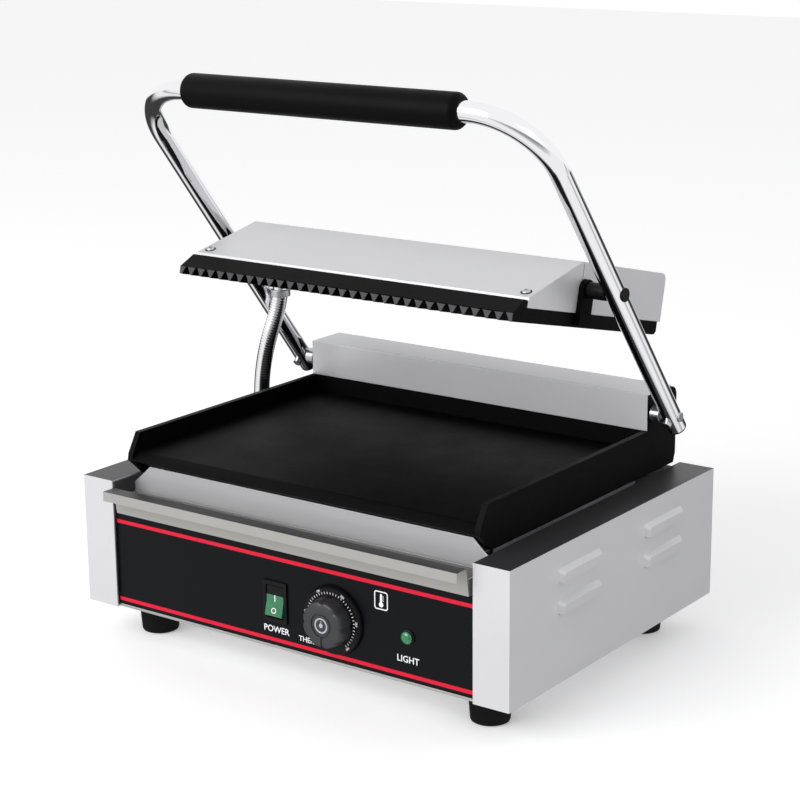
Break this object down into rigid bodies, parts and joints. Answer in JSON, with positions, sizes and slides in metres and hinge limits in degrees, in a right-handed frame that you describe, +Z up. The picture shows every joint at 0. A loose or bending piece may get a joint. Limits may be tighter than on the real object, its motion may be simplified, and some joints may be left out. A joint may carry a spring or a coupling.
{
  "type": "panini press",
  "caption": "Countertop contact grill: flat lower plate between stainless housings, ribbed upper plate under a raised chromed handle, front drip tray, knob and switch.",
  "frame": {"origin": "on the ground under the middle of the grill's outline, with the handle raised", "axes": "+X to the right as seen from the front, +Y from the controls to the hinge, +Z up; the controls face -Y"},
  "size_m": [0.4184, 0.329, 0.4565],
  "materials": {
    "stainless": "brushed stainless sheet, satin",
    "cast_black": "black heat-proof coating on cast iron",
    "panel_black": "gloss black control panel",
    "chrome": "bright chromed steel tube",
    "steel": "plain and zinc-plated steel",
    "grip_black": "satin black grip",
    "plastic_black": "black moulded plastic",
    "rubber": "black rubber",
    "lamp_green": "green translucent plastic",
    "element": "heat-darkened sheathed element"
  },
  "bodies": {
    "base": {"balance_spring_left": "steel", "balance_spring_right": "steel", "base_pan": "stainless", "cable_gland": "plastic_black", "conduit_gland": "chrome", "conduit_lower": "chrome", "foot_front_left": "rubber", "foot_front_right": "rubber", "foot_rear_left": "rubber", "foot_rear_right": "rubber", "foot_screw_front_left": "steel", "foot_screw_front_right": "steel", "foot_screw_rear_left": "steel", "foot_screw_rear_right": "steel", "front_apron": "stainless", "front_edge_strip": "stainless", "front_panel": "panel_black", "heat_shield": "stainless", "hinge_bracket_left": "cast_black", "hinge_bracket_right": "cast_black", "lamp_body": "plastic_black", "lamp_lens": "lamp_green", "left_housing": "stainless", "lower_element": "element", "lower_plate": "cast_black", "plate_support_left": "stainless", "plate_support_right": "stainless", "rear_cover": "stainless", "rear_panel": "stainless", "right_housing": "stainless", "sensing_bulb": "steel", "switch_body": "plastic_black", "terminal_block": "plastic_black", "thermostat_body": "plastic_black"},
    "handle": {"handle_tube": "chrome", "grip": "grip_black", "hinge_shaft": "steel", "end_plug_left": "plastic_black", "end_plug_right": "plastic_black", "clamp_screw_left": "steel", "clamp_screw_right": "steel", "pivot_bolt_left": "plastic_black", "pivot_bolt_right": "plastic_black", "conduit_clip": "chrome", "conduit_upper": "chrome"},
    "upper_plate_body": {"upper_plate": "cast_black", "upper_cover_front": "stainless", "upper_cover_rear": "stainless", "lug_left": "cast_black", "lug_right": "cast_black", "cover_screw_left": "steel", "cover_screw_right": "steel", "upper_element": "element", "conduit_elbow": "steel"},
    "tray": {"drip_tray": "stainless"},
    "knob": {"knob_skirt": "plastic_black", "knob_grip": "plastic_black", "thermostat_shaft": "steel"},
    "rocker_body": {"rocker": "lamp_green"}
  },
  "joints": [
    {"name": "handle_hinge", "type": "hinge", "parent": "base", "child": "handle", "pos_m": [0, 0.112, 0.185], "axis": [1, 0, 0], "range_deg": [0, 51.03], "deforming": ["conduit_lower"]},
    {"name": "plate_pivot", "type": "hinge", "parent": "handle", "child": "upper_plate_body", "pos_m": [0, 0.02017, 0.29979], "axis": [1, 0, 0], "range_deg": [-37.64, 0], "deforming": ["conduit_upper"]},
    {"name": "tray_slide", "type": "slide", "parent": "base", "child": "tray", "axis": [0, -1, 0], "range_m": [0, 0.06]},
    {"name": "thermostat_turn", "type": "hinge", "parent": "base", "child": "knob", "pos_m": [0.047, -0.15, 0.064], "axis": [0, 1, 0], "range_deg": [0, 280]},
    {"name": "rocker_tilt", "type": "hinge", "parent": "base", "child": "rocker_body", "pos_m": [-0.0094, -0.144, 0.0662], "axis": [1, 0, 0], "range_deg": [0, 16]}
  ],
  "couplings": [
    {"joint": "plate_pivot", "follows": "handle_hinge", "ratio": -0.7374}
  ]
}
